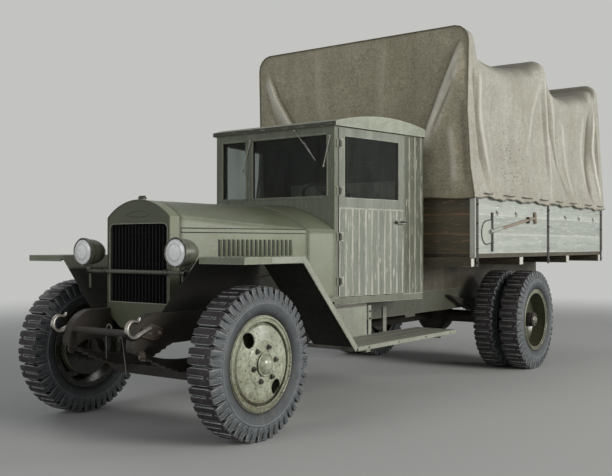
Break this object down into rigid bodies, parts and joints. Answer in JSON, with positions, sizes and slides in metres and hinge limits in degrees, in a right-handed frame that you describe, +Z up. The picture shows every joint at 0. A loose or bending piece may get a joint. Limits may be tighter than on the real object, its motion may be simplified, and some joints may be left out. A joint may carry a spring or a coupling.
{
  "type": "military cargo truck",
  "caption": "Bonneted military cargo truck with a plank cab, flat angular fenders, dropside load bed, hooped canvas cover and twin rear wheels.",
  "frame": {"origin": "on the ground, under the middle of the overall box", "axes": "+X to the truck's left, -Y the way it faces, +Z up"},
  "size_m": [2.292, 6.2, 2.92],
  "materials": {
    "frame": "satin dark olive paint",
    "bare_steel": "worn bare steel",
    "dark_steel": "dark oily steel",
    "tyre": "black rubber",
    "wheel_paint": "chipped olive paint",
    "body_paint": "satin olive paint",
    "black_paint": "black paint",
    "lamp_paint": "olive paint with clear lenses",
    "board_wood": "painted planks",
    "cab_wood": "painted planks",
    "glass": "dark glass",
    "roof_cloth": "painted roof",
    "seat_leather": "dark leathercloth",
    "bed_wood": "weathered painted boards",
    "hoop_wood": "plain timber",
    "canvas": "weathered canvas",
    "shovel_wood": "painted spade"
  },
  "bodies": {
    "chassis": {"frame_rails": "frame", "crossmembers": "frame", "tow_hooks": "bare_steel", "front_springs": "dark_steel", "rear_springs": "dark_steel", "front_axle": "dark_steel", "rear_axle": "dark_steel", "engine_block": "dark_steel", "radiator_shell": "body_paint", "radiator_grille": "black_paint", "cowl": "body_paint", "headlamps": "lamp_paint", "fender_left": "body_paint", "fender_right": "body_paint", "running_board_left": "board_wood", "running_board_right": "board_wood", "windscreen_frame": "cab_wood", "cab_glass": "glass", "cab_quarter_left": "cab_wood", "cab_quarter_right": "cab_wood", "cab_rear_wall": "cab_wood", "cab_floor": "cab_wood", "cab_roof": "roof_cloth", "seat_box": "cab_wood", "seat_cushions": "seat_leather", "steering_column": "black_paint", "bed_frame": "bed_wood", "bed_floor": "bed_wood", "bed_front_board": "bed_wood", "bed_side_left": "bed_wood", "bed_side_right": "bed_wood", "side_irons": "dark_steel", "cover_hoops": "hoop_wood", "cargo_cover": "canvas", "shovel": "shovel_wood"},
    "knuckle_left": {"knuckle_left": "dark_steel"},
    "knuckle_right": {"knuckle_right": "dark_steel"},
    "tie_rod": {"tie_rod": "dark_steel"},
    "front_wheel_left": {"tyre_front_left": "tyre", "wheel_front_left": "wheel_paint"},
    "front_wheel_right": {"tyre_front_right": "tyre", "wheel_front_right": "wheel_paint"},
    "rear_wheels_left": {"tyres_rear_left": "tyre", "wheel_rear_left": "wheel_paint"},
    "rear_wheels_right": {"tyres_rear_right": "tyre", "wheel_rear_right": "wheel_paint"},
    "door_left": {"door_left": "cab_wood", "door_glass_left": "glass"},
    "door_right": {"door_right": "cab_wood", "door_glass_right": "glass"},
    "hood_left": {"hood_left": "body_paint"},
    "hood_right": {"hood_right": "body_paint"},
    "tailgate": {"tailgate": "bed_wood"},
    "steering_wheel": {"steering_wheel": "black_paint"}
  },
  "joints": [
    {"name": "steer_left", "type": "hinge", "parent": "chassis", "child": "knuckle_left", "pos_m": [0.632, -2.5, 0.455], "axis": [0, 0, 1], "range_deg": [-30, 30]},
    {"name": "steer_right", "type": "hinge", "parent": "chassis", "child": "knuckle_right", "pos_m": [-0.632, -2.5, 0.455], "axis": [0, 0, 1], "range_deg": [-30, 30]},
    {"name": "tie_rod_shift", "type": "slide", "parent": "chassis", "child": "tie_rod", "axis": [1, 0, 0], "range_m": [-0.0925, 0.0925]},
    {"name": "steering_wheel_turn", "type": "hinge", "parent": "chassis", "child": "steering_wheel", "pos_m": [0.3, -0.995, 1.5], "axis": [0, 0.5299, 0.848], "range_deg": [-365, 365]},
    {"name": "front_left_roll", "type": "hinge", "parent": "knuckle_left", "child": "front_wheel_left", "pos_m": [0.7725, -2.5, 0.455], "axis": [1, 0, 0], "continuous": true},
    {"name": "front_right_roll", "type": "hinge", "parent": "knuckle_right", "child": "front_wheel_right", "pos_m": [-0.7725, -2.5, 0.455], "axis": [1, 0, 0], "continuous": true},
    {"name": "rear_left_roll", "type": "hinge", "parent": "chassis", "child": "rear_wheels_left", "pos_m": [0.8375, 1.31, 0.455], "axis": [1, 0, 0], "continuous": true},
    {"name": "rear_right_roll", "type": "hinge", "parent": "chassis", "child": "rear_wheels_right", "pos_m": [-0.8375, 1.31, 0.455], "axis": [1, 0, 0], "continuous": true},
    {"name": "door_left_swing", "type": "hinge", "parent": "chassis", "child": "door_left", "pos_m": [0.58534, -1.28509, 1.4], "axis": [0, 0, -1], "range_deg": [0, 70]},
    {"name": "door_right_swing", "type": "hinge", "parent": "chassis", "child": "door_right", "pos_m": [-0.58534, -1.28509, 1.4], "axis": [0, 0, 1], "range_deg": [0, 70]},
    {"name": "hood_left_lift", "type": "hinge", "parent": "chassis", "child": "hood_left", "pos_m": [0.0123, -2.12, 1.436], "axis": [0, -1, 0], "range_deg": [0, 50]},
    {"name": "hood_right_lift", "type": "hinge", "parent": "chassis", "child": "hood_right", "pos_m": [-0.0123, -2.12, 1.436], "axis": [0, 1, 0], "range_deg": [0, 50]},
    {"name": "tailgate_drop", "type": "hinge", "parent": "chassis", "child": "tailgate", "pos_m": [0, 3.091, 1.077], "axis": [-1, 0, 0], "range_deg": [0, 180]}
  ],
  "couplings": [
    {"joint": "steer_right", "follows": "steer_left", "ratio": 1},
    {"joint": "tie_rod_shift", "follows": "steer_left", "m_per_rad": -0.175},
    {"joint": "steering_wheel_turn", "follows": "steer_left", "ratio": 12}
  ]
}
